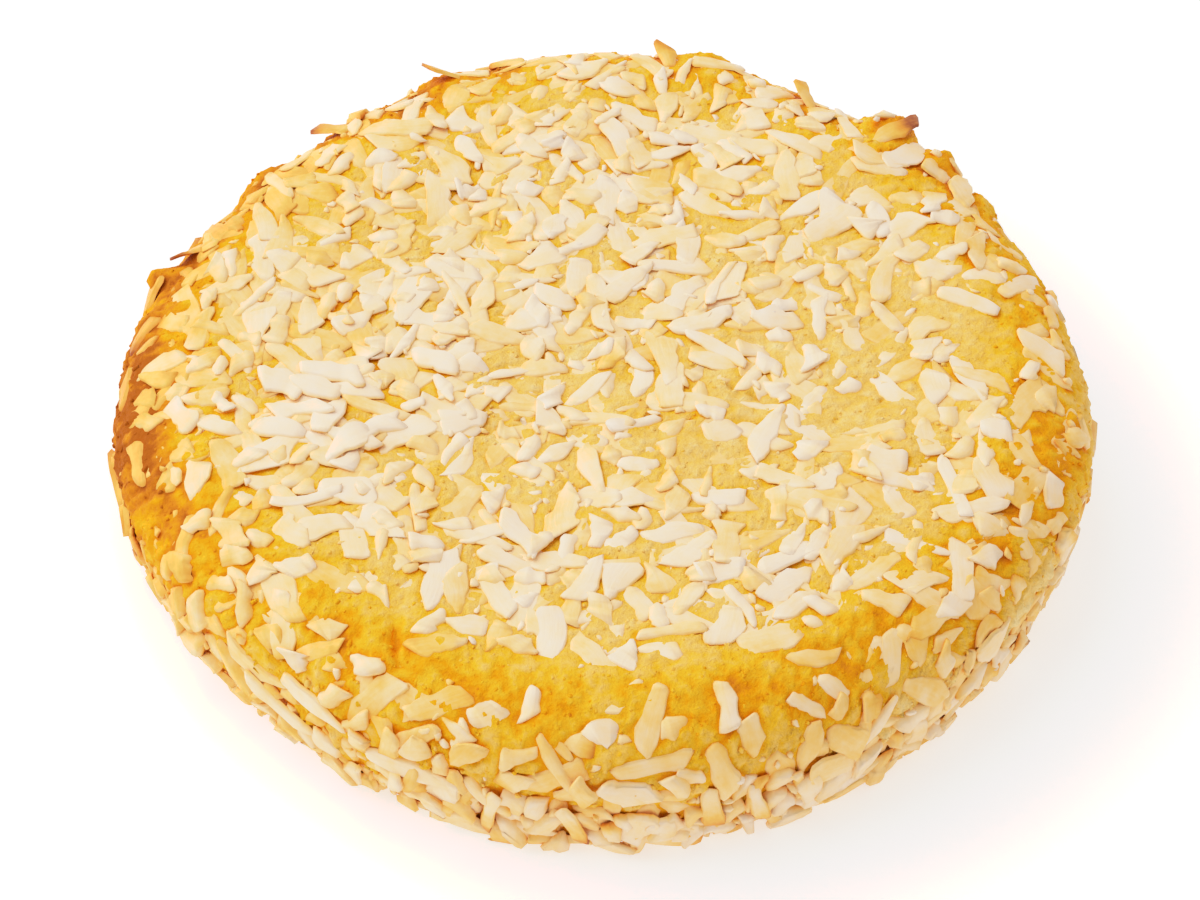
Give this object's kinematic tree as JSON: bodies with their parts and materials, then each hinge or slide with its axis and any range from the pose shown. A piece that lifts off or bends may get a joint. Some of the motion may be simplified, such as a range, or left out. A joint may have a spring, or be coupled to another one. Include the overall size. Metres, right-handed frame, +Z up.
{
  "type": "coconut cookie",
  "caption": "Thick round baked cookie with a rounded shoulder and a flat base, coated all over in coarse coconut flakes.",
  "frame": {"origin": "middle of the flat base, on the surface that the cookie stands on", "axes": "+Z up through the cookie's thickness; -Y towards the part of the rim where the dough shows barest, which is the near side in the picture; -X towards the part of the rim that browned darkest"},
  "size_m": [0.0762, 0.0758, 0.015],
  "materials": {
    "baked_dough": "matte",
    "coconut": "matte"
  },
  "bodies": {
    "root": {"cookie": "baked_dough"}
  },
  "joints": []
}
